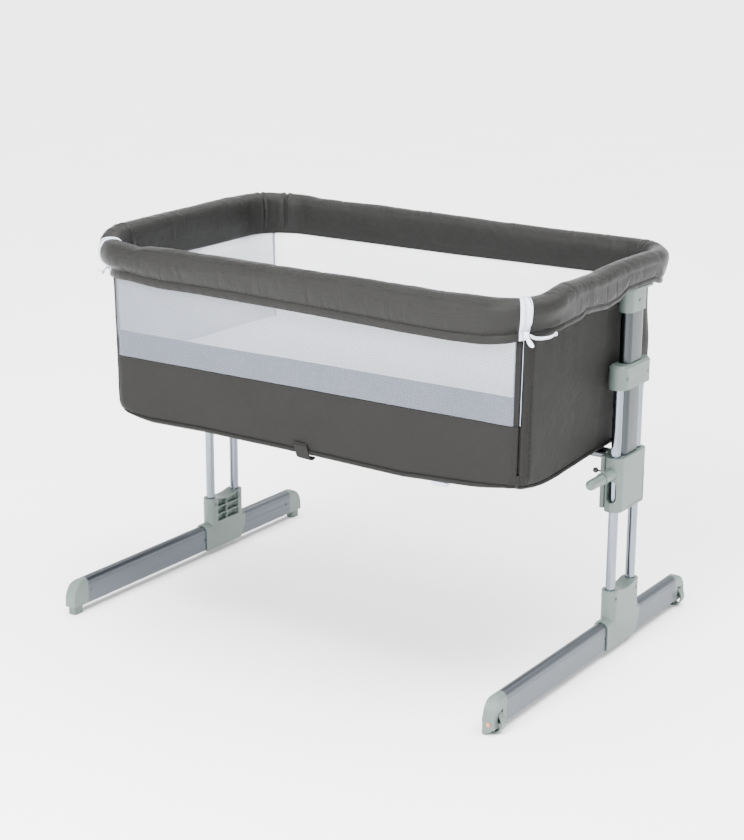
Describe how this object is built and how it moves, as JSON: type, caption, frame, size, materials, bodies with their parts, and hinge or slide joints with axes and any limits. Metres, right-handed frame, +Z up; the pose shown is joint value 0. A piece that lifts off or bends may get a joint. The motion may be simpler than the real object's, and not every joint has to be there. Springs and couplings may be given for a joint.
{
  "type": "bedside sleeper crib",
  "caption": "Bedside sleeper crib: padded fabric basket with a folding mesh side, hung between two height-adjustable stands on flat foot bars.",
  "frame": {"origin": "on the floor, under the middle of the footprint", "axes": "+Z up, +X along the length of the basket, -Y towards the folding mesh side"},
  "size_m": [0.93, 0.696, 0.694],
  "materials": {
    "alu_bar": "satin anodised",
    "alu_post": "satin anodised",
    "zinc_tube": "zinc plated",
    "top_tube": "satin",
    "plastic_grey": "fine texture",
    "plastic_inner": "fine texture",
    "black_knob": "satin",
    "dark_screw": "satin black",
    "axle": "plain",
    "pin_steel": "turned",
    "spring_steel": "plain",
    "deck_steel": "satin grey",
    "board": "raw fibreboard",
    "mattress_cover": "soft white woven",
    "shell_cloth": "satin polyester, padded",
    "lining_cloth": "white woven",
    "mesh": "fine open mesh",
    "webbing": "woven webbing",
    "zip_tape": "white zip tape",
    "zip_metal": "white enamel"
  },
  "bodies": {
    "basket": {"post_left": "alu_post", "post_right": "alu_post", "bracket_left": "plastic_grey", "bracket_right": "plastic_grey", "housing_outer_left": "plastic_grey", "housing_outer_right": "plastic_grey", "housing_inner_left": "plastic_inner", "housing_inner_right": "plastic_inner", "cross_beam": "alu_bar", "beam_knobs": "black_knob", "basket_screws": "dark_screw", "side_tube_left": "top_tube", "side_tube_right": "top_tube", "back_tube": "top_tube", "corner_sockets": "plastic_grey", "deck_frame": "deck_steel", "mattress_board": "board", "mattress": "mattress_cover", "back_panel": "shell_cloth", "left_panel": "shell_cloth", "right_panel": "shell_cloth", "front_lower_panel": "shell_cloth", "bottom_panel": "shell_cloth", "front_corners": "shell_cloth", "rim_back": "shell_cloth", "rim_left": "shell_cloth", "rim_right": "shell_cloth", "strap_loop": "webbing", "plunger_spring_left": "spring_steel", "plunger_spring_right": "spring_steel"},
    "left_stand": {"foot_bar_left": "alu_bar", "end_cap_front_left": "plastic_grey", "end_cap_rear_left": "plastic_grey", "saddle_left": "plastic_grey", "tube_front_left": "zinc_tube", "tube_rear_left": "zinc_tube", "collar_left": "plastic_grey", "stand_screws_left": "dark_screw", "foot_pads": "plastic_grey"},
    "right_stand": {"foot_bar_right": "alu_bar", "end_cap_front_right": "plastic_grey", "end_cap_rear_right": "plastic_grey", "saddle_right": "plastic_grey", "tube_front_right": "zinc_tube", "tube_rear_right": "zinc_tube", "collar_right": "plastic_grey", "stand_screws_right": "dark_screw", "wheel_axles": "axle"},
    "front_wheel": {"wheel_front": "plastic_grey"},
    "rear_wheel": {"wheel_rear": "plastic_grey"},
    "release_left": {"release_knob_left": "plastic_grey", "lock_plunger_left": "pin_steel"},
    "release_right": {"release_knob_right": "plastic_grey", "lock_plunger_right": "pin_steel"},
    "drop_side": {"front_rail": "top_tube", "rim_front": "shell_cloth", "mesh_window": "mesh", "zip_tapes": "zip_tape"},
    "zip_left": {"zip_slider_left": "zip_metal"},
    "zip_right": {"zip_slider_right": "zip_metal"}
  },
  "joints": [
    {"name": "left_height", "type": "slide", "parent": "basket", "child": "left_stand", "axis": [0, 0, 1], "range_m": [-0.115, 0.085]},
    {"name": "right_height", "type": "slide", "parent": "basket", "child": "right_stand", "axis": [0, 0, 1], "range_m": [-0.115, 0.085]},
    {"name": "front_wheel_spin", "type": "hinge", "parent": "right_stand", "child": "front_wheel", "pos_m": [0.44, -0.3285, 0.0185], "axis": [0, 1, 0], "continuous": true},
    {"name": "rear_wheel_spin", "type": "hinge", "parent": "right_stand", "child": "rear_wheel", "pos_m": [0.44, 0.3285, 0.0185], "axis": [0, 1, 0], "continuous": true},
    {"name": "left_release", "type": "slide", "parent": "basket", "child": "release_left", "axis": [0, -1, 0], "range_m": [0, 0.008], "stiffness_N_per_m": 800, "springref_m": -0.005, "deforming": ["plunger_spring_left"]},
    {"name": "right_release", "type": "slide", "parent": "basket", "child": "release_right", "axis": [0, -1, 0], "range_m": [0, 0.008], "stiffness_N_per_m": 800, "springref_m": -0.005, "deforming": ["plunger_spring_right"]},
    {"name": "drop_side_hinge", "type": "hinge", "parent": "basket", "child": "drop_side", "pos_m": [0, -0.234, 0.4695], "axis": [1, 0, 0], "range_deg": [0, 170]},
    {"name": "left_zip", "type": "slide", "parent": "drop_side", "child": "zip_left", "axis": [-0.0315, -0.0342, 0.9989], "range_m": [0, 0.035]},
    {"name": "right_zip", "type": "slide", "parent": "drop_side", "child": "zip_right", "axis": [0.0315, -0.0342, 0.9989], "range_m": [0, 0.035]}
  ]
}
